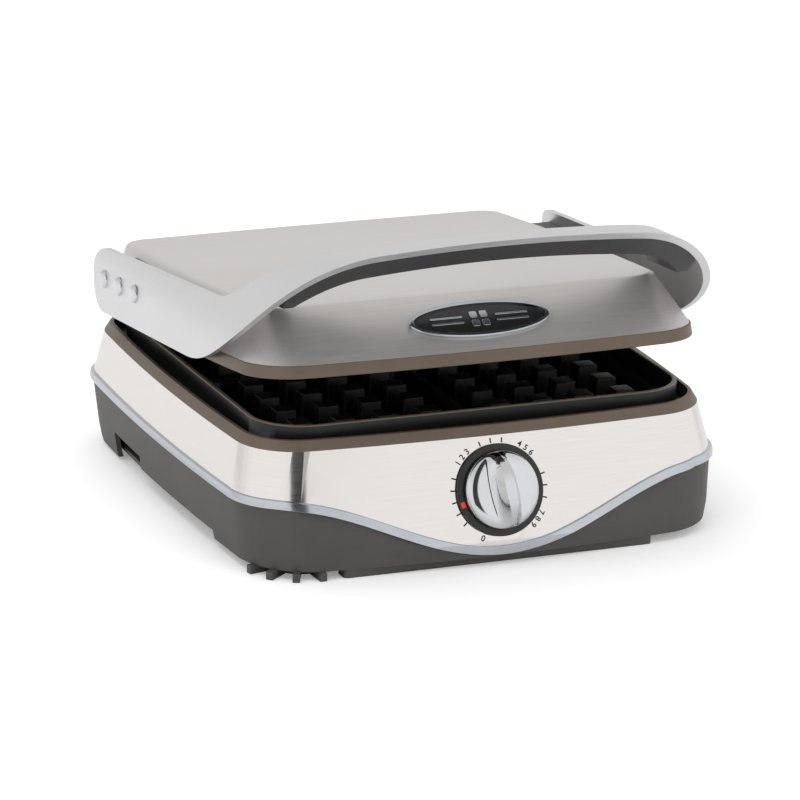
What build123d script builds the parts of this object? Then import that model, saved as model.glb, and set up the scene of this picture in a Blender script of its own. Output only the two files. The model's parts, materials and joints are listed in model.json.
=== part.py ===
"""Four-place waffle maker with a bail handle, a control knob and a timer ring.

Millimetres. +Z is up, the control panel faces -Y, and +X is to the right of someone
facing the panel. The origin is on the table, under the middle of the outline.
The lid is modelled shut and then turned up to its resting angle about the hinge pins.
"""
import math
import os

from build123d import *

# ---- driving dimensions -------------------------------------------------------------
clearance = 0.3            # between pieces that must not bind
running_clearance = 0.05   # radial, on shafts and pins
sheet = 1.0                # stainless skins
skirt_wall = 3.0           # moulded lower housing

# Housing outline at five heights: half width, front y, back y, side bow, front bow,
# back bow, front corner radius, back corner radius.
rim_seat = 71.0            # top of the steel band
belt = 43.0                # widest level, where steel and moulding meet on the sides
tuck = 14.0                # level where the panel begins to curve under
rim_outline = (145.8, -142.1, 150.9, 6.0, 7.0, 3.5, 35.0, 31.0)
belt_outline = (151.6, -151.6, 156.5, 6.0, 8.5, 3.5, 37.0, 32.0)
tuck_outline = (148.2, -160.0, 154.2, 5.6, 10.0, 3.5, 42.0, 32.0)
heel = 5.0                 # level where the skirt turns under
heel_outline = (146.6, -160.6, 153.0, 5.5, 10.4, 3.3, 43.0, 32.0)
floor_outline = (145.2, -159.4, 151.6, 5.4, 10.4, 3.2, 43.5, 31.5)

# Wavy seam between the steel band and the moulded skirt
seam_dip = 34.5            # how far the seam drops below the belt in the middle
seam_half_width = 135.0    # where the dip runs out
bead_height = 4.6
bead_proud = 1.7

# Skirt openings along the bottom edge
front_edge = 5.0           # bottom edge of the skirt at the front
side_arch = 10.0           # bottom edge between the feet
side_arch_y = (-80.0, 40.0)
notch_top = 18.0
notch_y = (40.0, 90.0)
rear_edge = 2.0

# Underside: cover, front bar, ribbed corner and feet
cover_thickness = 2.5
cover_top = front_edge + cover_thickness
vent_slot = (44.0, 5.0)    # length and width of one air slot
vent_spacing = (14.0, 60.0)
bar_length = 190.0
bar_front = -156.0
bar_depth = 12.0
rib_centre = (-109.5, -123.0)
rib_reach = (18.0, 34.0)
rib_width = 4.2
foot_radius = 9.0
foot_places = ((98.0, -120.0), (-96.0, 132.0), (96.0, 132.0))

# Cord gland
gland_y = 154.0            # inside of the wall it passes through
gland_z = 26.0
gland_radius = 6.5
gland_reach = 175.4        # outer end
cord_radius = 3.6

# Rims and plates
plate_y = 4.5              # centre of the cooking surface
rim_height = 5.5           # lower rim above its seat
rim_lean = 3.3             # how far the rim leans in over its height
rim_land = 2.0             # flat on top of the rim
plate_fit = 0.3            # gap round the edge of each casting
ring_half = 132.0          # outside of the raised batter ring
ring_corner = 31.0
ring_wall = 3.0
ring_top = 82.4
gutter_floor = 69.0
pitch = 26.25              # stud to stud
places = 4                 # studs per side of one waffle
divider = 17.0             # extra gap between two waffles
stud_top = 75.7
stud_width = 11.8
stud_draft = 7.0
land_top = 72.0
well_floor = 63.0
plate_underside = 58.0
well_draft = 20.0
upper_flange = 6.0         # edge thickness of the upper casting
upper_depth = 14.5         # parting to the well floors of the upper casting

# Inner frame and heating
chassis_half = 130.0
chassis_sheet = 1.2
chassis_corner = 26.0
flange_bottom = gutter_floor - 3.0
post_spacing = 236.0
post_radius = 6.0
screw_radius = 1.85
screw_head = 3.6
element_radius = 3.25
pan_floor = 44.0
board_level = 14.0         # middle of the control board
board_thickness = 1.6

# Lid
parting = 82.9             # level of the upper rim when the lid is shut
lid_rim_height = 7.3
lid_rim_outline = (142.6, -138.8, 150.0, 5.8, 6.8, 2.8, 33.0, 31.0)
lid_seat_outline = (141.0, -137.2, 149.6, 5.6, 6.6, 2.6, 32.0, 30.0)
lid_top_outline = (125.0, -104.1, 149.0, 3.6, 2.7, 2.0, 14.0, 14.0)
lid_top = 118.1
lid_edge_round = 4.0
lid_open = 5.62            # resting angle of the lid above shut
hinge_y = 161.0
hinge_z = 85.0
pin_radius = 3.0
knuckle_radius = 5.6
hinge_x = 92.0
ear_width = 6.0
knuckle_half = 8.7
washer = 0.8
ear_offset = knuckle_half + washer + 2 * running_clearance + ear_width / 2
lid_wall = 1.3

# Handle: a strip bent over the lid in an arch
arm_half = 148.5           # outside of the arms
strap = 4.0
bridge_top = 160.0
bridge_crown = 12.5
front_corner = 78.0        # bend of the arch at its front end
rear_corner = 44.0         # and at its rear end, where the arms stand upright
arch_ends = (-200.0, 130.0)
arm_bottom = 83.0
arm_top = 121.5
arm_rear = 122.0
rivet_y = (47.5, 74.5, 101.5)
rivet_z = 104.0
rivet_radius = 2.5
rivet_head = 5.6
rivet_proud = 2.6
rivet_inner = 135.5        # inner end of the rivets
mount_thickness = 26.0
mount_height = 20.0
grip_depth = 10.6
grip_inset = 1.6           # grip set back from the edges of the strap
grip_half = 124.0
grip_lowest = 124.0
grip_gap = 0.05

# Control panel
knob_z = 41.4
dial_radius = 26.4         # outside of the timer ring
knob_radius = 22.3
shaft_radius = 3.0
sleeve_radius = 6.0
ring_back = 0.9            # gap between the ring and the panel
ring_height = 3.4
knob_back = ring_back + 1.5
knob_rim = 3.6
blade_height = 13.0
blade_length = 37.0
blade_wide = 11.0
blade_narrow = 6.0
knob_angle = 4.0
mark_angle = 195.4
gearbox_front = 2.4
gearbox_depth = 16.0

# Badge
badge_length = 86.0
badge_height = 26.0
badge_level = 104.5
bezel_width = 2.6
badge_field = 0.9
bezel_proud = 2.2

cell = places * pitch
waffle_offset = (cell + divider) / 2
lid_rim_top = parting + lid_rim_height

os.makedirs("parts", exist_ok=True)


# ---- shared shapes --------------------------------------------------------------------
def bowed_rectangle(outline, inset=0.0):
    """Face of a rounded rectangle whose sides bow outwards, pulled in by inset."""
    half_x, front, back, side_bow, front_bow, back_bow, front_corner, back_corner = outline
    half_x, front, back = half_x - inset, front + inset, back - inset
    middle = (front + back) / 2
    left, near, far = half_x - side_bow, front + front_bow, back - back_bow
    with BuildSketch(mode=Mode.PRIVATE) as face:
        with BuildLine():
            ThreePointArc((-left, near), (0, front), (left, near))
            ThreePointArc((left, near), (half_x, middle), (left, far))
            ThreePointArc((left, far), (0, back), (-left, far))
            ThreePointArc((-left, far), (-half_x, middle), (-left, near))
        make_face()
        fillet(face.vertices().sort_by(Axis.Y)[:2], front_corner - inset)
        fillet(face.vertices().sort_by(Axis.Y)[-2:], back_corner - inset)
    return face.sketch


def housing(inset):
    """Solid volume of the lower housing, pulled in by inset on every side."""
    levels = ((0.0, floor_outline), (heel, heel_outline), (tuck, tuck_outline), (belt, belt_outline),
              (rim_seat, rim_outline))
    with BuildPart(mode=Mode.PRIVATE) as volume:
        for height, outline in levels:
            with BuildSketch(Plane.XY.offset(height)):
                add(bowed_rectangle(outline, inset))
        loft(ruled=True)
    return volume.part


def seam_level(x):
    """Height of the seam at the front, as a function of the distance from the middle."""
    if abs(x) >= seam_half_width:
        return belt
    return belt - seam_dip * (1 + math.cos(math.pi * x / seam_half_width)) / 2


def seam_slope(x):
    """Slope of the seam at the front."""
    if abs(x) >= seam_half_width:
        return 0.0
    return seam_dip / 2 * math.pi / seam_half_width * math.sin(math.pi * x / seam_half_width)


def above_seam(offset, reach=220.0):
    """Everything over the seam raised by offset, measured square to the seam."""
    stations = [seam_half_width * i / 12 for i in range(-12, 13)]
    wave = [(x, seam_level(x) + offset * math.hypot(1, seam_slope(x))) for x in stations]
    with BuildPart(mode=Mode.PRIVATE) as region:
        with BuildSketch(Plane.XZ):
            with BuildLine():
                Spline(*wave, tangents=[(1, 0), (1, 0)])
                Polyline(wave[-1], (reach, belt + offset), (reach, reach), (-reach, reach),
                         (-reach, belt + offset), wave[0])
            make_face()
        extrude(amount=reach)
        with Locations((0, reach / 2, (belt + offset + reach) / 2)):
            Box(2 * reach, reach, reach - belt - offset)
    return region.part


def slab(bottom, top, half_x, front, back, corner):
    """Plain rounded plate between two levels."""
    with BuildPart(mode=Mode.PRIVATE) as plate:
        with BuildSketch(Plane.XY.offset(bottom)):
            with Locations((0, (front + back) / 2)):
                RectangleRounded(2 * half_x, back - front, corner)
        extrude(amount=top - bottom)
    return plate.part


def finish(builder, name):
    """Label a finished piece and write its STEP file."""
    builder.part.label = name
    export_step(builder.part, f"parts/{name}.step")


def finish_lid(builder, name):
    """Turn a lid piece from shut to its resting angle, then write it."""
    hinge_axis = Axis((0, hinge_y, hinge_z), (-1, 0, 0))
    with BuildPart() as raised:
        add(builder.part.rotate(hinge_axis, lid_open))
    finish(raised, name)


outer_housing = housing(0)
band_inside = housing(sheet)
skirt_inside = housing(skirt_wall)
seam_half = bead_height / 2

panel_slope = math.atan2(rim_outline[1] - tuck_outline[1], rim_seat - tuck)
panel_y = belt_outline[1] - (belt - knob_z) * (belt_outline[1] - tuck_outline[1]) / (belt - tuck)
panel = Plane(origin=(0, panel_y, knob_z), x_dir=(1, 0, 0),
              z_dir=(0, -math.cos(panel_slope), math.sin(panel_slope)))

# ---- lower housing ----------------------------------------------------------------------
with BuildPart() as steel_band:
    add(outer_housing)
    add(band_inside, mode=Mode.SUBTRACT)
    add(above_seam(seam_half), mode=Mode.INTERSECT)
    with BuildSketch(panel.offset(-20)):
        Circle(sleeve_radius + 1.5)
    extrude(amount=40, mode=Mode.SUBTRACT)
finish(steel_band, "steel_band")

with BuildPart() as silver_bead:
    add(housing(-bead_proud))
    add(band_inside, mode=Mode.SUBTRACT)
    add(above_seam(-seam_half), mode=Mode.INTERSECT)
    add(above_seam(seam_half), mode=Mode.SUBTRACT)
finish(silver_bead, "silver_bead")

with BuildPart() as base_skirt:
    add(outer_housing)
    add(skirt_inside, mode=Mode.SUBTRACT)
    add(above_seam(-seam_half), mode=Mode.SUBTRACT)
    with Locations((0, -160, front_edge / 2)):
        Box(400, 2 * (160 + side_arch_y[0]), front_edge, mode=Mode.SUBTRACT)
    with Locations((0, sum(side_arch_y) / 2, side_arch / 2)):
        Box(400, side_arch_y[1] - side_arch_y[0], side_arch, mode=Mode.SUBTRACT)
    with Locations((0, sum(notch_y) / 2, notch_top / 2)):
        Box(400, notch_y[1] - notch_y[0], notch_top, mode=Mode.SUBTRACT)
    with Locations((0, 150, rear_edge / 2)):
        Box(400, 2 * (150 - notch_y[1]), rear_edge, mode=Mode.SUBTRACT)
    with BuildSketch(Plane.XZ.offset(-gland_y)):
        with Locations((0, gland_z)):
            Circle(gland_radius + clearance)
    extrude(amount=15, both=True, mode=Mode.SUBTRACT)
finish(base_skirt, "base_skirt")

with BuildPart() as bottom_cover:
    with BuildSketch(Plane.XY.offset(front_edge)):
        add(bowed_rectangle(floor_outline, skirt_wall + clearance))
    extrude(amount=cover_thickness)
    with BuildSketch():
        with Locations((0, bar_front + bar_depth / 2)):
            RectangleRounded(bar_length, bar_depth, 3.0)
    extrude(amount=front_edge)
    with BuildSketch(Plane.XY.offset(front_edge)):
        with Locations((0, 40)):
            with GridLocations(*vent_spacing, 9, 2):
                SlotOverall(*vent_slot, rotation=90)
    extrude(amount=cover_thickness, mode=Mode.SUBTRACT)
    with Locations(Plane.XY.offset(front_edge)):
        with Locations((0, plate_y)):
            with GridLocations(post_spacing, post_spacing, 2, 2):
                Hole(screw_radius + 0.15, depth=2 * cover_thickness)
finish(bottom_cover, "bottom_cover")

# Fan of ribs that carries the front left corner
with BuildPart() as corner_ribs:
    with BuildSketch():
        with Locations(rib_centre):
            with PolarLocations(sum(rib_reach) / 2, 4, start_angle=192, angular_range=81, endpoint=True):
                Rectangle(rib_reach[1] - rib_reach[0], rib_width)
            Circle(rib_reach[0] + 1)
            Circle(rib_reach[0] - 1.5, mode=Mode.SUBTRACT)
    extrude(amount=front_edge)
finish(corner_ribs, "corner_ribs")

with BuildPart() as rubber_feet:
    with BuildSketch():
        with Locations(*foot_places):
            Circle(foot_radius)
    extrude(amount=front_edge)
    chamfer(rubber_feet.faces().filter_by(Axis.Z).sort_by(Axis.Z)[:3].edges(), 1.0)
finish(rubber_feet, "rubber_feet")

with BuildPart() as base_chassis:
    with BuildSketch(Plane.XY.offset(cover_top)):
        with Locations((0, plate_y)):
            RectangleRounded(2 * chassis_half, 2 * chassis_half, chassis_corner)
            RectangleRounded(2 * (chassis_half - chassis_sheet), 2 * (chassis_half - chassis_sheet),
                             chassis_corner - chassis_sheet, mode=Mode.SUBTRACT)
    extrude(amount=flange_bottom - cover_top)
    with BuildSketch(Plane.XY.offset(cover_top)):
        with Locations((0, plate_y)):
            with GridLocations(post_spacing, post_spacing, 2, 2):
                Circle(post_radius)
                Circle(screw_radius + running_clearance, mode=Mode.SUBTRACT)
    extrude(amount=plate_underside - 1.0 - cover_top)
    with BuildSketch(Plane.XY.offset(cover_top)):
        with Locations((0, plate_y)):
            with GridLocations(post_spacing + 15, post_spacing, 2, 2):
                Rectangle(8.0, 3.0)
    extrude(amount=plate_underside - 1.0 - cover_top)
    with Locations((0, plate_y + chassis_half, gland_z)):
        Box(24, 12, 24, mode=Mode.SUBTRACT)
finish(base_chassis, "base_chassis")

with BuildPart() as cover_screws:
    with BuildSketch(Plane.XY.offset(front_edge - 2.2)):
        with Locations((0, plate_y)):
            with GridLocations(post_spacing, post_spacing, 2, 2):
                Circle(screw_head)
    extrude(amount=2.2)
    with BuildSketch(Plane.XY.offset(front_edge - 1)):
        with Locations((0, plate_y)):
            with GridLocations(post_spacing, post_spacing, 2, 2):
                Circle(screw_radius)
    extrude(amount=18)
finish(cover_screws, "cover_screws")

# ---- lower rim and plate -----------------------------------------------------------------
rim_inside = rim_lean + rim_land
with BuildPart() as lower_rim:
    with BuildSketch(Plane.XY.offset(rim_seat)):
        add(bowed_rectangle(rim_outline))
    with BuildSketch(Plane.XY.offset(rim_seat + rim_height)):
        add(bowed_rectangle(rim_outline, rim_lean))
    loft(ruled=True)
    fillet(lower_rim.faces().sort_by(Axis.Z)[-1].edges(), 0.8)
    with BuildSketch(Plane.XY.offset(flange_bottom - 3)):
        add(bowed_rectangle(rim_outline, sheet + 2 * clearance))
    extrude(amount=rim_seat - flange_bottom + 3)
    with BuildSketch(Plane.XY.offset(flange_bottom - 3)):
        add(bowed_rectangle(rim_outline, rim_inside + 3.5))
    extrude(amount=30, mode=Mode.SUBTRACT)
    with BuildSketch(Plane.XY.offset(flange_bottom)):
        add(bowed_rectangle(rim_outline, rim_inside))
    extrude(amount=30, mode=Mode.SUBTRACT)
finish(lower_rim, "lower_rim")

stud_height = stud_top - well_floor
stud_base = stud_width + 2 * stud_height * math.tan(math.radians(stud_draft))
with BuildPart(mode=Mode.PRIVATE) as stud:
    with BuildSketch():
        RectangleRounded(stud_base, stud_base, 2.2)
    extrude(amount=stud_height, taper=stud_draft)
    fillet(stud.faces().sort_by(Axis.Z)[-1].edges(), 0.9)


def wells(face, floor_level, up):
    """The four pockets for batter, as solids to cut from a casting."""
    well = cell + 4.0
    depth = face - floor_level if up else floor_level - face
    with BuildPart(mode=Mode.PRIVATE) as pockets:
        with BuildSketch(Plane.XY.offset(floor_level)):
            with Locations((0, plate_y)):
                with GridLocations(2 * waffle_offset, 2 * waffle_offset, 2, 2):
                    RectangleRounded(well, well, 7.0)
        extrude(amount=depth if up else -depth, taper=-well_draft)
    return pockets.part


def stud_field(floor_level, up):
    """Studs of all four waffles, standing on or hanging from the well floors."""
    with BuildPart(mode=Mode.PRIVATE) as field:
        with Locations((0, plate_y, floor_level)):
            with GridLocations(2 * waffle_offset, 2 * waffle_offset, 2, 2):
                with GridLocations(pitch, pitch, places, places):
                    add(stud.part if up else stud.part.mirror(Plane.XY))
    return field.part


with BuildPart() as lower_grid_plate:
    with BuildSketch(Plane.XY.offset(flange_bottom)):
        add(bowed_rectangle(rim_outline, rim_inside + plate_fit))
    extrude(amount=gutter_floor - flange_bottom)
    with BuildSketch(Plane.XY.offset(gutter_floor)):
        with Locations((0, plate_y)):
            RectangleRounded(2 * ring_half, 2 * ring_half, ring_corner)
    extrude(amount=ring_top - gutter_floor)
    with BuildSketch(Plane.XY.offset(flange_bottom)):
        with Locations((0, plate_y)):
            RectangleRounded(252, 252, 20)
    extrude(amount=plate_underside - flange_bottom, taper=40)
    recess_half = ring_half - ring_wall
    with BuildSketch(Plane.XY.offset(land_top)):
        with Locations((0, plate_y)):
            RectangleRounded(2 * recess_half, 2 * recess_half, ring_corner - ring_wall)
    extrude(amount=ring_top - land_top, mode=Mode.SUBTRACT)
    fillet(lower_grid_plate.edges().filter_by_position(Axis.Z, ring_top - 0.01, ring_top + 0.01), 0.9)
    add(wells(land_top, well_floor, True), mode=Mode.SUBTRACT)
    add(stud_field(well_floor, True))
finish(lower_grid_plate, "lower_grid_plate")


def element(level, rear):
    """Bent tubular heating element lying flat with its middle at the given level."""
    half, inner, turn = 100.0, 40.0, 14.0
    route = [(-15, rear), (-15, 95), (-half, 95), (-half, -half), (-inner, -half), (-inner, 42),
             (inner, 42), (inner, -half), (half, -half), (half, 95), (15, 95), (15, rear)]
    points = [(x, plate_y + y, level) for x, y in route]
    with BuildPart(mode=Mode.PRIVATE) as tube:
        with BuildLine() as path:
            FilletPolyline(*points, radius=turn)
        with BuildSketch(Plane(origin=path.line @ 0, z_dir=path.line % 0)):
            Circle(element_radius)
        sweep()
    return tube.part


with BuildPart() as lower_element:
    add(element(plate_underside - element_radius - 0.1, 122.0))
finish(lower_element, "lower_element")

with BuildPart() as reflector_pan:
    add(slab(pan_floor, pan_floor + 6, 110.0, plate_y - 110, plate_y + 125, 16))
    add(slab(pan_floor + 0.8, pan_floor + 6, 109.2, plate_y - 109.2, plate_y + 124.2, 15.2), mode=Mode.SUBTRACT)
finish(reflector_pan, "reflector_pan")

with BuildPart() as thermostat:
    with Locations((0, plate_y - 20, plate_underside - 4.1)):
        Cylinder(9.0, 8.0)
        with Locations((0, 0, -1)):
            Box(26, 8, 3)
finish(thermostat, "thermostat")

# ---- electrics -----------------------------------------------------------------------------
board_top = board_level + board_thickness / 2
board_bottom = board_level - board_thickness / 2
with BuildPart() as control_board:
    with Locations((-60, -60, board_level)):
        Box(90, 64, board_thickness)
    with Locations((-80, -70, board_top + 7)):
        Box(19, 15, 14)
    with Locations((-45, -48, board_top + 8)):
        Cylinder(6, 16)
    with Locations((-30, -76, board_top + 3)):
        Box(14, 10, 6)
    with Locations((-60, -60, (cover_top + board_bottom) / 2)):
        with GridLocations(80, 54, 2, 2):
            Cylinder(2.5, board_bottom - cover_top)
finish(control_board, "control_board")

with BuildPart() as buzzer:
    with Locations((-88, -42, board_top + 4)):
        Cylinder(6.5, 8)
        Hole(1.2, depth=4)
finish(buzzer, "buzzer")

with BuildPart() as terminal_block:
    with Locations((40, 105, cover_top + 8)):
        Box(42, 18, 16)
    with Locations((40, 105, cover_top + 16)):
        with GridLocations(13, 1, 3, 1):
            Hole(3.0, depth=6)
finish(terminal_block, "terminal_block")

with BuildPart() as cord_gland:
    with BuildSketch(Plane.XZ.offset(-140.0)):
        with Locations((0, gland_z)):
            Circle(gland_radius)
    extrude(amount=-(gland_reach - 140.0))
    with BuildSketch(Plane.XZ.offset(-157.4)):
        with Locations((0, gland_z)):
            Circle(gland_radius + 3.5)
    extrude(amount=-4.0)
    with BuildSketch(Plane.XZ.offset(-gland_reach)):
        with Locations((0, gland_z)):
            Circle(cord_radius)
    extrude(amount=20.0, mode=Mode.SUBTRACT)
finish(cord_gland, "cord_gland")

# ---- knob, timer ring and gearbox -------------------------------------------------------------

with BuildPart() as timer_gearbox:
    with BuildSketch(panel.offset(-gearbox_front)):
        Rectangle(52, 34)
    extrude(amount=-gearbox_depth)
    with BuildSketch(panel.offset(-gearbox_front)):
        Circle(sleeve_radius + running_clearance)
    extrude(amount=-7.0, mode=Mode.SUBTRACT)
    with BuildSketch(panel.offset(-gearbox_front)):
        Circle(shaft_radius + running_clearance)
    extrude(amount=-13.0, mode=Mode.SUBTRACT)
finish(timer_gearbox, "timer_gearbox")

with BuildPart() as panel_bush:
    with BuildSketch(panel.offset(-gearbox_front)):
        Circle(sleeve_radius + 1.4)
        Circle(sleeve_radius + running_clearance, mode=Mode.SUBTRACT)
    extrude(amount=gearbox_front + 0.4)
finish(panel_bush, "panel_bush")

mark_radius = (dial_radius + knob_radius) / 2
with BuildPart() as timer_ring:
    with BuildSketch(panel.offset(ring_back)):
        Circle(dial_radius)
    extrude(amount=ring_height)
    fillet(timer_ring.edges().sort_by_distance(panel.origin)[-1], 0.9)
    with BuildSketch(panel.offset(ring_back + 1.2)):
        Circle(knob_radius + clearance)
    extrude(amount=ring_height, mode=Mode.SUBTRACT)
    with BuildSketch(panel.offset(ring_back)):
        Circle(sleeve_radius)
    extrude(amount=-(ring_back + gearbox_front + 6.5))
    with BuildSketch(panel.offset(ring_back + 2)):
        Circle(shaft_radius + running_clearance)
    extrude(amount=-20, mode=Mode.SUBTRACT)
finish(timer_ring, "timer_ring")

mark_direction = math.radians(mark_angle)
mark_centre = (mark_radius * math.cos(mark_direction), mark_radius * math.sin(mark_direction))
with BuildPart() as timer_mark:
    with BuildSketch(panel.offset(ring_back + ring_height)):
        with Locations(Location(mark_centre, mark_angle)):
            Rectangle(dial_radius - knob_radius - 1.6, 3.4)
    extrude(amount=0.35)
finish(timer_mark, "timer_mark")

with BuildPart() as knob_shaft:
    with BuildSketch(panel.offset(knob_back)):
        Circle(shaft_radius)
    extrude(amount=-(knob_back + gearbox_front + 12.0))
finish(knob_shaft, "knob_shaft")

with BuildPart() as knob:
    with BuildSketch(panel.offset(knob_back)):
        Circle(knob_radius)
    extrude(amount=knob_rim)
    with BuildSketch(panel.offset(knob_back + knob_rim)):
        Circle(knob_radius - 2.2)
    extrude(amount=1.2, taper=45)
    with BuildSketch(panel.offset(knob_back + knob_rim)):
        with Locations(Location((0, 0), knob_angle)):
            with BuildLine():
                Polyline((-blade_wide / 2, -blade_length / 2), (blade_wide / 2, -blade_length / 2),
                         (blade_narrow / 2, blade_length / 2), (-blade_narrow / 2, blade_length / 2),
                         close=True)
            make_face()
    extrude(amount=blade_height, taper=5)
finish(knob, "knob")

# ---- hinges -------------------------------------------------------------------------------------
with BuildPart() as hinge_brackets:
    for side in (-1, 1):
        for ear in (-1, 1):
            middle = side * hinge_x + ear * ear_offset
            with BuildSketch(Plane.YZ.offset(middle)):
                with BuildLine():
                    Polyline((hinge_y - knuckle_radius, hinge_z), (hinge_y - knuckle_radius, 78),
                             (152, 70), (150, 50), (162, 50), (hinge_y + knuckle_radius, hinge_z), close=True)
                make_face()
                with Locations((hinge_y, hinge_z)):
                    Circle(knuckle_radius)
                    Circle(pin_radius, mode=Mode.SUBTRACT)
            extrude(amount=ear_width / 2, both=True)
        with Locations((side * hinge_x, 156, 57)):
            Box(2 * ear_offset, 13, 14)
    add(outer_housing, mode=Mode.SUBTRACT)
finish(hinge_brackets, "hinge_brackets")

with BuildPart() as hinge_pins:
    for side in (-1, 1):
        with BuildSketch(Plane.YZ.offset(side * hinge_x)):
            with Locations((hinge_y, hinge_z)):
                Circle(pin_radius)
        extrude(amount=ear_offset + ear_width / 2 + 1.0, both=True)
        with BuildSketch(Plane.YZ.offset(side * (hinge_x + ear_offset + ear_width / 2))):
            with Locations((hinge_y, hinge_z)):
                Circle(pin_radius + 1.4)
        extrude(amount=side * 1.6)
finish(hinge_pins, "hinge_pins")

with BuildPart() as hinge_washers:
    for side in (-1, 1):
        for face in (-1, 1):
            middle = side * hinge_x + face * (knuckle_half + running_clearance + washer / 2)
            with BuildSketch(Plane.YZ.offset(middle)):
                with Locations((hinge_y, hinge_z)):
                    Circle(knuckle_radius - 0.4)
                    Circle(pin_radius, mode=Mode.SUBTRACT)
            extrude(amount=washer / 2, both=True)
finish(hinge_washers, "hinge_washers")

with BuildPart() as lid_hinge_arms:
    for side in (-1, 1):
        with BuildSketch(Plane.YZ.offset(side * hinge_x)):
            with BuildLine():
                Polyline((hinge_y - knuckle_radius, hinge_z), (151.5, 93), (151.5, 106),
                         (154.5, 106), (hinge_y + knuckle_radius, hinge_z), close=True)
            make_face()
            with Locations((hinge_y, hinge_z)):
                Circle(knuckle_radius)
                Circle(pin_radius + running_clearance, mode=Mode.SUBTRACT)
        extrude(amount=knuckle_half, both=True)
        with Locations((side * hinge_x, 149.9, 102)):
            Box(34, 4.6, 18)
    add(slab(70, 140, 170, -200, 149.6, 5), mode=Mode.SUBTRACT)
finish_lid(lid_hinge_arms, "lid_hinge_arms")

# ---- lid ---------------------------------------------------------------------------------------
lid_inside = rim_inside
with BuildPart() as upper_rim:
    with BuildSketch(Plane.XY.offset(parting)):
        add(bowed_rectangle(lid_rim_outline))
    with BuildSketch(Plane.XY.offset(lid_rim_top)):
        add(bowed_rectangle(lid_seat_outline, -0.6))
    loft(ruled=True)
    fillet(upper_rim.faces().sort_by(Axis.Z)[0].edges(), 1.0)
    with BuildSketch(Plane.XY.offset(parting)):
        add(bowed_rectangle(lid_rim_outline, lid_inside))
    extrude(amount=lid_rim_height, mode=Mode.SUBTRACT)
finish_lid(upper_rim, "upper_rim")

upper_face = parting + upper_flange
upper_well_floor = parting + upper_depth
upper_land = parting + upper_flange
upper_back = upper_well_floor + 3.0
with BuildPart() as upper_grid_plate:
    with BuildSketch(Plane.XY.offset(parting)):
        add(bowed_rectangle(lid_rim_outline, lid_inside + plate_fit))
    extrude(amount=upper_flange)
    with BuildSketch(Plane.XY.offset(upper_face)):
        with Locations((0, plate_y)):
            RectangleRounded(256, 256, 26)
    extrude(amount=upper_back - upper_face, taper=35)
    with BuildSketch(Plane.XY.offset(parting)):
        with Locations((0, plate_y)):
            RectangleRounded(248, 248, 18)
    extrude(amount=upper_land - parting, mode=Mode.SUBTRACT)
    fillet(upper_grid_plate.edges().filter_by_position(Axis.Z, parting - 0.01, parting + 0.01), 0.8)
    add(wells(upper_land, upper_well_floor, False), mode=Mode.SUBTRACT)
    add(stud_field(upper_well_floor, False))
finish_lid(upper_grid_plate, "upper_grid_plate")

with BuildPart(mode=Mode.PRIVATE) as lid_volume:
    with BuildSketch(Plane.XY.offset(lid_rim_top)):
        add(bowed_rectangle(lid_seat_outline))
    with BuildSketch(Plane.XY.offset(lid_top)):
        add(bowed_rectangle(lid_top_outline))
    loft(ruled=True)
    fillet(lid_volume.faces().sort_by(Axis.Z)[-1].edges(), lid_edge_round)

with BuildPart() as lid_shell:
    add(lid_volume.part)
    with BuildSketch(Plane.XY.offset(lid_rim_top)):
        add(bowed_rectangle(lid_seat_outline, lid_wall))
    with BuildSketch(Plane.XY.offset(lid_top - sheet)):
        add(bowed_rectangle(lid_top_outline, 2.5 * lid_wall))
    loft(ruled=True, mode=Mode.SUBTRACT)
finish_lid(lid_shell, "lid_shell")

with BuildPart() as upper_element:
    add(element(upper_back + element_radius + 0.1, 118.0))
finish_lid(upper_element, "upper_element")

with BuildPart() as lid_heat_shield:
    add(slab(upper_back + 7.2, upper_back + 8.0, 117.0, -102.0, 135.0, 10))
finish_lid(lid_heat_shield, "lid_heat_shield")

with BuildPart() as thermal_fuse:
    with Locations((0, plate_y - 20, upper_back + 2.6)):
        Box(24, 8, 5)
        with Locations(Location((0, 0, 0.4), (0, 90, 0))):
            Cylinder(2.0, 34)
finish_lid(thermal_fuse, "thermal_fuse")


# ---- handle ---------------------------------------------------------------------------------------
def arch_face(inset, corner):
    """Area under the arch of the handle seen from the front, pulled in by inset."""
    half, crown_top = arm_half - inset, bridge_top - inset
    shoulder = crown_top - bridge_crown
    with BuildSketch(mode=Mode.PRIVATE) as region:
        with BuildLine():
            Polyline((-half, shoulder), (-half, 50), (half, 50), (half, shoulder))
            ThreePointArc((half, shoulder), (0, crown_top), (-half, shoulder))
        make_face()
        fillet(region.vertices().group_by(Axis.Y)[-1], corner - inset)
    return region.sketch


def arch(inset):
    """Solid under the arch, whose bends grow wider towards the front."""
    with BuildPart(mode=Mode.PRIVATE) as volume:
        for end, corner in zip(arch_ends, (front_corner, rear_corner)):
            with BuildSketch(Plane.XZ.offset(-end)):
                add(arch_face(inset, corner))
        loft()
    return volume.part


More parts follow.
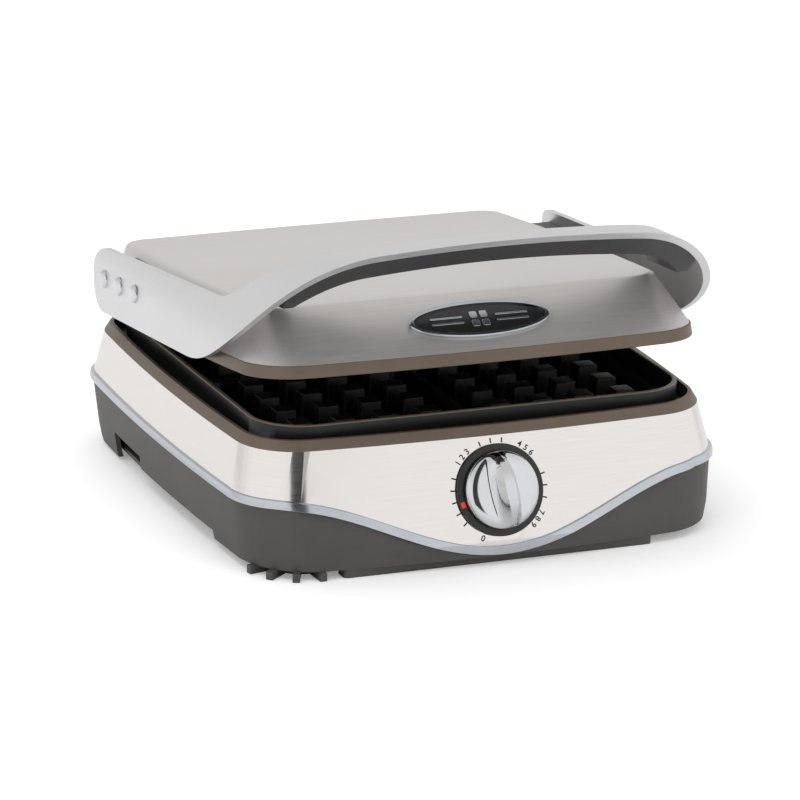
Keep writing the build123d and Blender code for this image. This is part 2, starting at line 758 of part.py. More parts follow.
def strap_side(inset):
    """Outline of the handle seen from the side, pulled in by inset."""
    low, high, rear = arm_bottom + inset, arm_top - inset, arm_rear - inset
    nose_top = bridge_top + 5
    with BuildSketch(Plane.YZ, mode=Mode.PRIVATE) as side_view:
        with BuildLine():
            Spline((-40.5, low), (-82 + inset, 91.5 + inset), (-117 + inset, 109 + inset),
                   (-145.5 + inset, 131 + inset / 2), (-163.5 + inset, 148), (-184 + inset, nose_top),
                   tangents=[(-1, 0), (-0.75, 0.66)])
            Line((-184 + inset, nose_top), (-161 - inset, nose_top))
            Spline((-161 - inset, nose_top), (-121 - inset, 146), (-97 - inset, 131 - inset / 2), (-64, high),
                   tangents=[(0.84, -0.54), (1, 0)])
            Polyline((-64, high), (rear, high), (rear, low), (-40.5, low))
        make_face()
        fillet(side_view.vertices().group_by(Axis.X)[-1], 16 - inset)
    return side_view.sketch


with BuildPart() as handle:
    add(arch(0))
    add(arch(strap), mode=Mode.SUBTRACT)
    extrude(strap_side(0), amount=200, both=True, mode=Mode.INTERSECT)
    for y in rivet_y:
        with Locations(Location((0, y, rivet_z), (0, 90, 0))):
            Cylinder(rivet_radius, 400, mode=Mode.SUBTRACT)
finish_lid(handle, "handle")

with BuildPart() as grip_insert:
    add(arch(strap + grip_gap))
    add(arch(strap + grip_depth), mode=Mode.SUBTRACT)
    extrude(strap_side(grip_inset), amount=200, both=True, mode=Mode.INTERSECT)
    with Locations((0, -140, grip_lowest + 50)):
        Box(2 * grip_half, 160, 100, mode=Mode.INTERSECT)
finish_lid(grip_insert, "grip_insert")

with BuildPart() as handle_mounts:
    with BuildSketch(Plane.YZ.offset(arm_half - strap)):
        with Locations(((rivet_y[0] + rivet_y[-1]) / 2, rivet_z)):
            RectangleRounded(rivet_y[-1] - rivet_y[0] + 26, mount_height, 8)
    extrude(amount=-mount_thickness)
    add(handle_mounts.part.mirror(Plane.YZ))
    add(lid_volume.part, mode=Mode.SUBTRACT)
    add(arch(strap + grip_gap), mode=Mode.INTERSECT)
    for y in rivet_y:
        with Locations(Location((0, y, rivet_z), (0, 90, 0))):
            Cylinder(rivet_radius, 400, mode=Mode.SUBTRACT)
finish_lid(handle_mounts, "handle_mounts")

with BuildPart() as handle_rivets:
    for y in rivet_y:
        with BuildSketch(Plane.YZ.offset(rivet_inner)):
            with Locations((y, rivet_z)):
                Circle(rivet_radius)
        extrude(amount=arm_half - rivet_inner)
        with BuildSketch(Plane.YZ.offset(arm_half)):
            with Locations((y, rivet_z)):
                Circle(rivet_head)
        extrude(amount=rivet_proud)
    heads = handle_rivets.faces().filter_by(Axis.X).sort_by(Axis.X)[-3:]
    fillet(heads.edges(), rivet_proud - 0.1)
    add(handle_rivets.part.mirror(Plane.YZ))
finish_lid(handle_rivets, "handle_rivets")

# ---- badge ------------------------------------------------------------------------------------------
slope_rise = lid_top - lid_rim_top
slope_run = lid_top_outline[1] - lid_seat_outline[1]
slope_length = math.hypot(slope_rise, slope_run)
badge_share = (badge_level - lid_rim_top) / slope_rise
badge_plane = Plane(origin=(0, lid_seat_outline[1] + badge_share * slope_run, badge_level), x_dir=(1, 0, 0),
                    z_dir=(0, -slope_rise / slope_length, slope_run / slope_length))
with BuildPart() as badge_bezel:
    with BuildSketch(badge_plane.offset(-3)):
        Ellipse(badge_length / 2, badge_height / 2)
    extrude(amount=3 + bezel_proud)
    fillet(badge_bezel.edges().sort_by_distance(badge_plane.offset(60).origin)[0], 0.9)
    with BuildSketch(badge_plane.offset(-3)):
        Ellipse(badge_length / 2 - bezel_width, badge_height / 2 - bezel_width)
    extrude(amount=20, mode=Mode.SUBTRACT)
    add(lid_volume.part, mode=Mode.SUBTRACT)
finish_lid(badge_bezel, "badge_bezel")

with BuildPart() as badge_plate:
    with BuildSketch(badge_plane.offset(-3)):
        Ellipse(badge_length / 2 - bezel_width, badge_height / 2 - bezel_width)
    extrude(amount=3 + badge_field)
    add(lid_volume.part, mode=Mode.SUBTRACT)
finish_lid(badge_plate, "badge_plate")

with BuildPart() as badge_emblem:
    with BuildSketch(badge_plane.offset(badge_field)):
        with GridLocations(6.2, 6.2, 2, 2):
            RectangleRounded(4.6, 4.6, 1.0)
        with GridLocations(40, 4.0, 2, 2):
            SlotOverall(20, 1.3)
    extrude(amount=0.7)
finish_lid(badge_emblem, "badge_emblem")
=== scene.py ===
"""Looks of a four-place waffle maker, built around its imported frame.

Metres. The frame's origin is on the table under the middle of the outline, +Z is up and
the control panel faces -Y.
"""
import json
import math

import bmesh
import bpy
from mathutils import Matrix, Vector
from mathutils.bvhtree import BVHTree

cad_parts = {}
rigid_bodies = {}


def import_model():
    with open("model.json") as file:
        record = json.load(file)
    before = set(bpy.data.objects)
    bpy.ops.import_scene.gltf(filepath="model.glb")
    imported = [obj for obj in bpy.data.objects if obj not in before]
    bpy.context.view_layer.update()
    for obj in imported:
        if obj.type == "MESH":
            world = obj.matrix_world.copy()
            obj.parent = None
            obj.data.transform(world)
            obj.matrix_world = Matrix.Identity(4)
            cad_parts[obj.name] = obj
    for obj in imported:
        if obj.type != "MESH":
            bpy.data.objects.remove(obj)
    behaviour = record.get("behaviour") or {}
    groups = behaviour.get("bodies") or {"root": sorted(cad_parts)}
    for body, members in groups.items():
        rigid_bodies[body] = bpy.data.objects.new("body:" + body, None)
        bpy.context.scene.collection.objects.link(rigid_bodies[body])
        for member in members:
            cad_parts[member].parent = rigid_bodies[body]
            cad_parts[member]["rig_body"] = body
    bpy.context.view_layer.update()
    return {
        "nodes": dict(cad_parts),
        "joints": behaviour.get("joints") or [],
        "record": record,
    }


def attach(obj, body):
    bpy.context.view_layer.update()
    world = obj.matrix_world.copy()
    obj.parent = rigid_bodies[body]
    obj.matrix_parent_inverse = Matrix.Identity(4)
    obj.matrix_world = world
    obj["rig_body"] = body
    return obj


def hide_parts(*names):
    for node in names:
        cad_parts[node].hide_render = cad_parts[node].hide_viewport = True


bl_info = {
    "name": "Waffle Maker",
    "version": (1, 0, 0),
    "blender": (4, 5, 0),
    "location": "View3D > Sidebar > Waffle Maker",
    "description": "Builds the finished surfaces of a four-place waffle maker around its frame",
    "category": "Object",
}

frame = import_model()

MM = 0.001
SHEET_ROUND = 0.3 * MM     # edge rounds that no setting changes
FOOT_ROUND = 0.4 * MM
GLAND_ROUND = 0.6 * MM
GRIP_ROUND = 1.2 * MM
EMBLEM_ROUND = 0.25 * MM
PRINT_LIFT = 0.06 * MM     # printed marks above the band
NUMERAL_STEP = 8.5         # degrees between two numbers of a group
TICK_STEP = 14.0           # degrees between two marks of a group
NONSTICK_FLECK = (0.016, 0.014, 0.013)
NONSTICK_ROUGHNESS = (0.30, 0.42)
NONSTICK_GRAIN = 1700.0
dial_joint = next(joint for joint in frame["joints"] if joint["name"] == "knob_turn")
DIAL_CENTRE = Vector(dial_joint["pos_m"])
DIAL_NORMAL = Vector(dial_joint["axis"]).normalized()
DIAL_ACROSS = Vector((1.0, 0.0, 0.0))
DIAL_UP = DIAL_NORMAL.cross(DIAL_ACROSS).normalized()


# ---- settings ---------------------------------------------------------------------------
class WaffleSizes(bpy.types.PropertyGroup):
    """Edge rounds and the small parts that the frame leaves plain."""

    edge_round: bpy.props.FloatProperty(
        name="Edge round", description="Round on the edges of sheet and moulded pieces",
        default=0.5 * MM, unit="LENGTH")
    casting_round: bpy.props.FloatProperty(
        name="Casting round", description="Round on the edges of the cast plates and rims",
        default=0.7 * MM, unit="LENGTH")
    strap_round: bpy.props.FloatProperty(
        name="Strap round", description="Round on the edges of the handle strap",
        default=0.8 * MM, unit="LENGTH")
    bead_round: bpy.props.FloatProperty(
        name="Bead round", description="Round on the edges of the bead between band and skirt",
        default=1.5 * MM, unit="LENGTH")
    knob_radius: bpy.props.FloatProperty(
        name="Knob radius", description="Outside radius of the knob", default=22.3 * MM, unit="LENGTH")
    blade_width: bpy.props.FloatProperty(
        name="Blade width", description="Width of the grip's face at the middle of the knob",
        default=6.0 * MM, unit="LENGTH")
    blade_flare: bpy.props.FloatProperty(
        name="Blade flare", description="Width of each flank of the grip",
        default=6.2 * MM, unit="LENGTH")
    blade_top: bpy.props.FloatProperty(
        name="Blade top", description="Level of the grip's face above the panel",
        default=18.4 * MM, unit="LENGTH")
    ring_share: bpy.props.FloatProperty(
        name="Ring height share", description="Share of the frame's ring height that is kept",
        default=0.45, min=0.1, max=1.0)
    knob_turn: bpy.props.FloatProperty(
        name="Knob turn", description="Turn of the grip from upright, in degrees", default=8.0)
    tick_radius: bpy.props.FloatProperty(
        name="Tick radius", description="Inner end of the marks round the dial",
        default=26.9 * MM, unit="LENGTH")
    tick_length: bpy.props.FloatProperty(
        name="Tick length", description="Length of one mark", default=2.9 * MM, unit="LENGTH")
    numeral_height: bpy.props.FloatProperty(
        name="Numeral height", description="Height of the numbers round the dial",
        default=3.6 * MM, unit="LENGTH")


class WaffleFinishes(bpy.types.PropertyGroup):
    """Colours of the finishes."""

    band: bpy.props.FloatVectorProperty(
        name="Band", description="Polished steel round the base", subtype="COLOR",
        default=(0.80, 0.775, 0.75), min=0.0, max=1.0)
    lid: bpy.props.FloatVectorProperty(
        name="Lid", description="Brushed steel of the lid", subtype="COLOR",
        default=(0.645, 0.622, 0.608), min=0.0, max=1.0)
    handle: bpy.props.FloatVectorProperty(
        name="Handle", description="Satin metal of the handle", subtype="COLOR",
        default=(0.76, 0.76, 0.77), min=0.0, max=1.0)
    moulding: bpy.props.FloatVectorProperty(
        name="Moulding", description="Moulded base", subtype="COLOR",
        default=(0.072, 0.066, 0.062), min=0.0, max=1.0)
    rim: bpy.props.FloatVectorProperty(
        name="Rims", description="Coated rims of both plates", subtype="COLOR",
        default=(0.160, 0.122, 0.093), min=0.0, max=1.0)
    coating: bpy.props.FloatVectorProperty(
        name="Coating", description="Non-stick coating", subtype="COLOR",
        default=(0.006, 0.0055, 0.005), min=0.0, max=1.0)
    bead: bpy.props.FloatVectorProperty(
        name="Bead", description="Silver bead", subtype="COLOR",
        default=(0.54, 0.57, 0.61), min=0.0, max=1.0)
    mark: bpy.props.FloatVectorProperty(
        name="Timer mark", description="Painted mark on the timer ring", subtype="COLOR",
        default=(0.86, 0.06, 0.02), min=0.0, max=1.0)


class WaffleView(bpy.types.PropertyGroup):
    """Camera."""

    azimuth: bpy.props.FloatProperty(
        name="Azimuth", description="Turn of the camera about the vertical",
        default=math.radians(-22.59), subtype="ANGLE")
    elevation: bpy.props.FloatProperty(
        name="Elevation", description="Height of the camera above level",
        default=math.radians(17.10), subtype="ANGLE")
    roll: bpy.props.FloatProperty(
        name="Roll", description="Tilt of the horizon", default=math.radians(1.22), subtype="ANGLE")
    distance: bpy.props.FloatProperty(
        name="Distance", description="Camera to target", default=2.9854, unit="LENGTH")
    target: bpy.props.FloatVectorProperty(
        name="Target", description="Point the camera looks at", default=(0.0142, 0.0130, 0.0453),
        subtype="TRANSLATION")
    lens: bpy.props.FloatProperty(name="Lens", description="Focal length in mm", default=225.4)
    shift: bpy.props.FloatVectorProperty(
        name="Shift", description="Lens shift across and up", size=2, default=(-0.0155, -0.0009))


# ---- material helpers --------------------------------------------------------------------
def node_material(name):
    """A new material's tree and its shader."""
    material = bpy.data.materials.new(name)
    material.use_nodes = True
    tree = material.node_tree
    return material, tree, tree.nodes["Principled BSDF"]


def place_pattern(tree, stretch=(1.0, 1.0, 1.0)):
    """Object coordinates, stretched for a pattern."""
    place = tree.nodes.new("ShaderNodeTexCoord")
    mapping = tree.nodes.new("ShaderNodeMapping")
    mapping.inputs["Scale"].default_value = stretch
    tree.links.new(place.outputs["Object"], mapping.inputs["Vector"])
    return mapping.outputs["Vector"]


def noise(tree, vector, scale, detail=4.0, roughness=0.55):
    """Fractal noise, as a value from 0 to 1."""
    node = tree.nodes.new("ShaderNodeTexNoise")
    node.inputs["Scale"].default_value = scale
    node.inputs["Detail"].default_value = detail
    node.inputs["Roughness"].default_value = roughness
    tree.links.new(vector, node.inputs["Vector"])
    return node.outputs["Fac"]


def spread(tree, value, low, high, start=0.3, end=0.7):
    """A value of the pattern moved into the range low to high."""
    node = tree.nodes.new("ShaderNodeMapRange")
    node.inputs["From Min"].default_value = start
    node.inputs["From Max"].default_value = end
    node.inputs["To Min"].default_value = low
    node.inputs["To Max"].default_value = high
    tree.links.new(value, node.inputs["Value"])
    return node.outputs["Result"]


def tint(tree, value, dark, light):
    """Colour between dark and light that follows a pattern."""
    ramp = tree.nodes.new("ShaderNodeValToRGB")
    ramp.color_ramp.elements[0].position = 0.3
    ramp.color_ramp.elements[1].position = 0.7
    ramp.color_ramp.elements[0].color = (*dark, 1.0)
    ramp.color_ramp.elements[1].color = (*light, 1.0)
    tree.links.new(value, ramp.inputs["Fac"])
    return ramp.outputs["Color"]


def relief(tree, value, height, strength=1.0, below=None):
    """Bump of the given height in metres, on top of another bump."""
    bump = tree.nodes.new("ShaderNodeBump")
    bump.inputs["Distance"].default_value = height
    bump.inputs["Strength"].default_value = strength
    tree.links.new(value, bump.inputs["Height"])
    if below is not None:
        tree.links.new(below, bump.inputs["Normal"])
    return bump.outputs["Normal"]


def shade(colour, factor):
    """The colour made darker or lighter."""
    return tuple(min(1.0, channel * factor) for channel in colour)


def brushed_metal(name, colour, stretch, fine, roughness, depth, contrast=0.06, metallic=1.0):
    """Metal with brush lines: stretch is short along the lines."""
    material, tree, shader = node_material(name)
    lines = noise(tree, place_pattern(tree, stretch), fine, 6.0, 0.6)
    broad = noise(tree, place_pattern(tree), 9.0, 3.0)
    shader.inputs["Metallic"].default_value = metallic
    base = tint(tree, lines, shade(colour, 1.0 - contrast), shade(colour, 1.0 + contrast))
    tree.links.new(base, shader.inputs["Base Color"])
    mixed = tree.nodes.new("ShaderNodeMath")
    mixed.operation = "MULTIPLY_ADD"
    tree.links.new(lines, mixed.inputs[0])
    mixed.inputs[1].default_value = 0.75
    tree.links.new(spread(tree, broad, 0.0, 0.25), mixed.inputs[2])
    gloss = spread(tree, mixed.outputs["Value"], roughness[0], roughness[1])
    tree.links.new(gloss, shader.inputs["Roughness"])
    tree.links.new(relief(tree, lines, depth), shader.inputs["Normal"])
    return material


def polished_metal(name, colour, roughness):
    """Bright plated or turned metal with faint handling marks."""
    material, tree, shader = node_material(name)
    marks = noise(tree, place_pattern(tree), 320.0, 8.0, 0.7)
    cloud = noise(tree, place_pattern(tree), 30.0, 3.0)
    shader.inputs["Metallic"].default_value = 1.0
    tree.links.new(tint(tree, cloud, shade(colour, 0.95), shade(colour, 1.04)), shader.inputs["Base Color"])
    tree.links.new(spread(tree, marks, roughness[0], roughness[1]), shader.inputs["Roughness"])
    tree.links.new(relief(tree, cloud, 0.000008), shader.inputs["Normal"])
    return material


def moulded_plastic(name, colour, grain, roughness, depth=0.00006, specular=0.5):
    """Spark-eroded moulding: fine grain, slight unevenness in colour and gloss."""
    material, tree, shader = node_material(name)
    place = place_pattern(tree)
    pits = tree.nodes.new("ShaderNodeTexVoronoi")
    pits.inputs["Scale"].default_value = grain
    tree.links.new(place, pits.inputs["Vector"])
    cloud = noise(tree, place, 14.0, 4.0)
    fine = noise(tree, place, grain * 1.6, 3.0)
    shader.inputs["Specular IOR Level"].default_value = specular
    tree.links.new(tint(tree, cloud, shade(colour, 0.9), shade(colour, 1.1)), shader.inputs["Base Color"])
    tree.links.new(spread(tree, fine, roughness[0], roughness[1]), shader.inputs["Roughness"])
    lumps = relief(tree, pits.outputs["Distance"], depth, 0.7)
    tree.links.new(relief(tree, fine, depth * 0.6, 0.5, lumps), shader.inputs["Normal"])
    return material


def sparkle_coating(name, colour, sparkle, roughness, grain, metallic):
    """Sprayed coating with fine metal flake or glassy speckle."""
    material, tree, shader = node_material(name)
    place = place_pattern(tree)
    flakes = tree.nodes.new("ShaderNodeTexVoronoi")
    flakes.inputs["Scale"].default_value = grain
    tree.links.new(place, flakes.inputs["Vector"])
    orange_peel = noise(tree, place, 420.0, 3.0)
    cloud = noise(tree, place, 11.0, 4.0)
    mix = tree.nodes.new("ShaderNodeMix")
    mix.data_type = "RGBA"
    tree.links.new(spread(tree, flakes.outputs["Distance"], 1.0, 0.0, 0.0, 0.35), mix.inputs["Factor"])
    tree.links.new(tint(tree, cloud, shade(colour, 0.86), shade(colour, 1.12)), mix.inputs["A"])
    mix.inputs["B"].default_value = (*sparkle, 1.0)
    tree.links.new(mix.outputs["Result"], shader.inputs["Base Color"])
    shader.inputs["Metallic"].default_value = metallic
    tree.links.new(spread(tree, cloud, roughness[0], roughness[1]), shader.inputs["Roughness"])
    tree.links.new(relief(tree, orange_peel, 0.00005, 0.8), shader.inputs["Normal"])
    return material


def heat_tinted_tube(name):
    """Sheathed element: dull steel gone brown and blue in patches."""
    material, tree, shader = node_material(name)
    place = place_pattern(tree)
    patches = noise(tree, place, 38.0, 5.0)
    ramp = tree.nodes.new("ShaderNodeValToRGB")
    ramp.color_ramp.elements[0].color = (0.10, 0.075, 0.06, 1.0)
    ramp.color_ramp.elements[1].color = (0.34, 0.27, 0.20, 1.0)
    blue = ramp.color_ramp.elements.new(0.55)
    blue.color = (0.14, 0.15, 0.20, 1.0)
    tree.links.new(patches, ramp.inputs["Fac"])
    tree.links.new(ramp.outputs["Color"], shader.inputs["Base Color"])
    shader.inputs["Metallic"].default_value = 0.9
    tree.links.new(spread(tree, patches, 0.35, 0.6), shader.inputs["Roughness"])
    tree.links.new(relief(tree, noise(tree, place, 900.0, 2.0), 0.00003), shader.inputs["Normal"])
    return material


def make_finishes():
    """Every finish of the appliance, by the name of the record's slot."""
    colours = bpy.context.scene.waffle_finishes
    return {
        "steel_skin": brushed_metal("polished_band", tuple(colours.band), (1.5, 1.5, 70.0), 24.0,
                                    (0.10, 0.20), 0.00001, 0.03),
        "lid_steel": brushed_metal("brushed_lid", tuple(colours.lid), (0.6, 40.0, 40.0), 26.0,
                                   (0.36, 0.52), 0.00004, metallic=0.62),
        "bright_trim": polished_metal("silver_trim", tuple(colours.bead), (0.16, 0.20)),
        "dark_moulding": moulded_plastic("base_moulding", tuple(colours.moulding), 1500.0, (0.42, 0.56)),
        "foot_rubber": moulded_plastic("foot_rubber", (0.022, 0.021, 0.021), 700.0, (0.75, 0.9),
                                       0.00012, 0.3),
        "inner_steel": brushed_metal("plated_sheet", (0.55, 0.55, 0.53), (8.0, 8.0, 8.0), 6.0,
                                     (0.30, 0.50), 0.00003),
        "fastener_steel": polished_metal("turned_steel", (0.72, 0.72, 0.73), (0.16, 0.28)),
        "rim_casting": sparkle_coating("rim_paint", tuple(colours.rim), (0.22, 0.18, 0.15), (0.34, 0.48),
                                       2600.0, 0.55),
        "nonstick": sparkle_coating("nonstick_coating", tuple(colours.coating), NONSTICK_FLECK,
                                    NONSTICK_ROUGHNESS, NONSTICK_GRAIN, 0.0),
        "element_steel": heat_tinted_tube("element_sheath"),
        "electric_plastic": moulded_plastic("electrical_moulding", (0.52, 0.49, 0.42), 900.0, (0.45, 0.6)),
        "board_green": sparkle_coating("board_lacquer", (0.02, 0.14, 0.06), (0.35, 0.28, 0.08), (0.25, 0.4),
                                       500.0, 0.0),
        "ring_plastic": moulded_plastic("timer_ring_moulding", (0.016, 0.015, 0.014), 2200.0, (0.32, 0.44),
                                        0.00003),
        "mark_red": moulded_plastic("mark_paint", tuple(colours.mark), 1800.0, (0.35, 0.5), 0.00002),
        "knob_metal": polished_metal("knob_plating", (0.68, 0.69, 0.71), (0.06, 0.11)),
        "handle_metal": brushed_metal("satin_handle", tuple(colours.handle), (1.2, 36.0, 36.0), 30.0,
                                      (0.34, 0.48), 0.00003, 0.04),
        "black_plastic": moulded_plastic("black_moulding", (0.030, 0.029, 0.030), 1300.0, (0.38, 0.5)),
        "badge_black": moulded_plastic("badge_enamel", (0.020, 0.019, 0.020), 1200.0, (0.12, 0.2), 0.00001),
    }


FINISHES = {}


# ---- shape helpers -------------------------------------------------------------------------
def finish_piece(mesh, name, body, slot, smooth_angle=30.0, replaced=(), material=None):
    """Turn a bmesh into a piece that rides on a body with the slot's finish."""
    data = bpy.data.meshes.new(name)
    mesh.to_mesh(data)
    mesh.free()
    for polygon in data.polygons:
        polygon.use_smooth = True
    data.set_sharp_from_angle(angle=math.radians(smooth_angle))
    piece = bpy.data.objects.new(name, data)
    bpy.context.scene.collection.objects.link(piece)
    data.materials.append(material or FINISHES[slot])
    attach(piece, body)
    if replaced:
        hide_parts(*replaced)
    return piece


def round_edges(piece, width, segments=2, angle=30.0):
    """Live bevel on the sharp edges, with flat faces kept flat."""
    bevel = piece.modifiers.new("edge_round", "BEVEL")
    bevel.width = width
    bevel.segments = segments
    bevel.limit_method = "ANGLE"
    bevel.angle_limit = math.radians(angle)
    bevel.harden_normals = True


def merged_copy(node):
    """The frame's piece as one connected mesh with its flat faces joined up."""
    mesh = bmesh.new()
    mesh.from_mesh(frame["nodes"][node].data)
    bmesh.ops.remove_doubles(mesh, verts=mesh.verts, dist=0.002 * MM)
    flat = math.radians(0.2)
    bmesh.ops.dissolve_limit(mesh, angle_limit=flat, verts=mesh.verts, edges=mesh.edges)
    return mesh


def refine(node, slot, width, segments=2, smooth_angle=30.0):
    """Smooth-shaded copy of a frame piece with rounded edges."""
    body = frame["nodes"][node]["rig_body"]
    piece = finish_piece(merged_copy(node), "fine_" + node, body, slot, smooth_angle, (node,))
    if width:
        round_edges(piece, width, segments)
    return piece


def dial_matrix():
    """Places something drawn in the XY plane on the control panel, +Z towards the user."""
    turn = Matrix((DIAL_ACROSS, DIAL_UP, DIAL_NORMAL)).transposed()
    return Matrix.Translation(DIAL_CENTRE) @ turn.to_4x4()


# ---- pieces ---------------------------------------------------------------------------------
class WAFFLE_OT_finishes(bpy.types.Operator):
    """Make the finishes and put them on the frame's own pieces"""

    bl_idname = "waffle.finishes"
    bl_label = "Finishes"

    def execute(self, context):
        FINISHES.update(make_finishes())
        slots = {entry["node"]: entry["material_slot"] for entry in frame["record"]["subparts"]}
        for name, node in frame["nodes"].items():
            for index in range(len(node.material_slots)):
                node.material_slots[index].material = FINISHES[slots[name]]
        return {"FINISHED"}


class WAFFLE_OT_casings(bpy.types.Operator):
    """Band, skirt, rims, lid and feet with rounded edges"""

    bl_idname = "waffle.casings"
    bl_label = "Casings"

    def execute(self, context):
        sizes = context.scene.waffle_sizes
        for node, slot, width in (
                ("steel_band", "steel_skin", SHEET_ROUND),
                ("base_skirt", "dark_moulding", sizes.edge_round),
                ("lower_rim", "rim_casting", sizes.casting_round),
                ("upper_rim", "rim_casting", sizes.casting_round),
                ("lid_shell", "lid_steel", sizes.edge_round),
                ("bottom_cover", "dark_moulding", SHEET_ROUND),
                ("corner_ribs", "dark_moulding", SHEET_ROUND),
                ("rubber_feet", "foot_rubber", FOOT_ROUND),
                ("hinge_brackets", "inner_steel", SHEET_ROUND),
                ("lid_hinge_arms", "inner_steel", SHEET_ROUND),
                ("cord_gland", "foot_rubber", GLAND_ROUND)):
            refine(node, slot, width)
        return {"FINISHED"}


class WAFFLE_OT_bead(bpy.types.Operator):
    """Rounded silver bead along the seam"""

    bl_idname = "waffle.bead"
    bl_label = "Bead"

    def execute(self, context):
        refine("silver_bead", "bright_trim", context.scene.waffle_sizes.bead_round, 4)
        return {"FINISHED"}


class WAFFLE_OT_plates(bpy.types.Operator):
    """Studded cooking plates"""

    bl_idname = "waffle.plates"
    bl_label = "Plates"

    def execute(self, context):
        for node in ("lower_grid_plate", "upper_grid_plate"):
            refine(node, "nonstick", 0.0, 1, 40.0)
        colours = context.scene.waffle_finishes
        plate = bpy.data.objects["fine_lower_grid_plate"]
        ring_top = max(vert.co.z for vert in plate.data.vertices)
        plate.data.materials.clear()
        plate.data.materials.append(
            self.ringed_coating(tuple(colours.coating), tuple(colours.rim), ring_top))
        return {"FINISHED"}

    @staticmethod
    def ringed_coating(coating, rim, ring_top):
        """Non-stick coating that takes the colour of the rims on top of the batter ring."""
        material = sparkle_coating("ringed_coating", coating, NONSTICK_FLECK, NONSTICK_ROUGHNESS,
                                   NONSTICK_GRAIN, 0.0)
        tree = material.node_tree
        shader = tree.nodes["Principled BSDF"]
        parts = tree.nodes.new("ShaderNodeSeparateXYZ")
        tree.links.new(place_pattern(tree), parts.inputs["Vector"])
        mix = tree.nodes.new("ShaderNodeMix")
        mix.data_type = "RGBA"
        edge = spread(tree, parts.outputs["Z"], 0.0, 1.0, ring_top - 0.8 * MM, ring_top - 0.4 * MM)
        tree.links.new(edge, mix.inputs["Factor"])
        tree.links.new(shader.inputs["Base Color"].links[0].from_socket, mix.inputs["A"])
        mix.inputs["B"].default_value = (*rim, 1.0)
        tree.links.new(mix.outputs["Result"], shader.inputs["Base Color"])
        return material


class WAFFLE_OT_handle(bpy.types.Operator):
    """Handle strap, grip, mounting blocks and rivets"""

    bl_idname = "waffle.handle"
    bl_label = "Handle"

    def execute(self, context):
        sizes = context.scene.waffle_sizes
        refine("handle", "handle_metal", sizes.strap_round, 3)
        refine("grip_insert", "black_plastic", GRIP_ROUND, 3)
        refine("handle_mounts", "black_plastic", sizes.edge_round)
        refine("handle_rivets", "fastener_steel", 0.0)
        return {"FINISHED"}


class WAFFLE_OT_knob(bpy.types.Operator):
    """Domed knob with a leaf-shaped grip, and the timer ring with its mark"""

    bl_idname = "waffle.knob"
    bl_label = "Knob"

    def execute(self, context):
        sizes = context.scene.waffle_sizes
        for node, slot, width in (("timer_ring", "ring_plastic", SHEET_ROUND),
                                  ("timer_mark", "mark_red", 0.0)):
            piece = refine(node, slot, width, 2, 25.0)
            self.lower_towards_panel(piece, sizes.ring_share)
        mesh = self.knob_body(sizes)
        bmesh.ops.recalc_face_normals(mesh, faces=mesh.faces)
        turn = math.radians(sizes.knob_turn)
        mesh.transform(dial_matrix() @ Matrix.Rotation(turn, 4, "Z"))
        finish_piece(mesh, "fine_knob", "control", "knob_metal", 38.0, ("knob",))
        return {"FINISHED"}

    @staticmethod
    def lower_towards_panel(piece, share):
        """Keep the given share of the height above the panel."""
        for vert in piece.data.vertices:
            height = (vert.co - DIAL_CENTRE).dot(DIAL_NORMAL)
            if height > 0.0:
                vert.co -= DIAL_NORMAL * height * (1.0 - share)

    @staticmethod
    def knob_body(sizes):
        """Low dome with a leaf-shaped grip raised across it, on a short round skirt."""
        radius = sizes.knob_radius
        crown, shoulder, skirt_foot = 8.6 * MM, 4.6 * MM, 2.5 * MM
        rows, outer, flank, top = 72, 16, 12, 6
        mesh = bmesh.new()
        grid = []
        for row in range(rows + 1):
            along = -math.cos(math.pi * row / rows)
            y = along * radius
            half = math.sqrt(max(radius * radius - y * y, 0.0))
            leaf = sizes.blade_width / 2 * (1.0 - abs(along) ** 2.2) + 0.15 * MM
            spans = [-half + (half - leaf - sizes.blade_flare) * i / outer for i in range(outer)]
            spans += [-leaf - sizes.blade_flare * (1.0 - i / flank) for i in range(flank)]
            spans += [-leaf + leaf * i / top for i in range(top)]
            spans = [max(x, -half) for x in spans]
            across = spans + [0.0] + [-x for x in reversed(spans)]
            line = []
            for x in across:
                share = min(1.0, (x * x + y * y) / (radius * radius))
                dome = shoulder + (crown - shoulder) * math.sqrt(1.0 - share ** 3)
                ridge = (sizes.blade_top - crown) * (1.0 - abs(along) ** 2.6)
                rise = min(1.0, max(0.0, 1.0 - (abs(x) - leaf) / sizes.blade_flare))
                climb = 0.25 * rise * rise * (3.0 - 2.0 * rise) + 0.75 * rise ** 2.4
                line.append(mesh.verts.new((x, y, dome + ridge * climb)))
            grid.append(line)
        for low, high in zip(grid, grid[1:]):
            for index in range(len(low) - 1):
                mesh.faces.new((low[index], low[index + 1], high[index + 1], high[index]))
        bmesh.ops.remove_doubles(mesh, verts=mesh.verts, dist=0.002 * MM)
        edges = [edge for edge in mesh.edges if edge.is_boundary]
        skirt = bmesh.ops.extrude_edge_only(mesh, edges=edges)["geom"]
        foot = [item for item in skirt if isinstance(item, bmesh.types.BMVert)]
        for vert in foot:
            vert.co.z = skirt_foot
        rim = [item for item in skirt if isinstance(item, bmesh.types.BMEdge)
               and item.is_boundary]
        bmesh.ops.contextual_create(mesh, geom=rim)
        return mesh


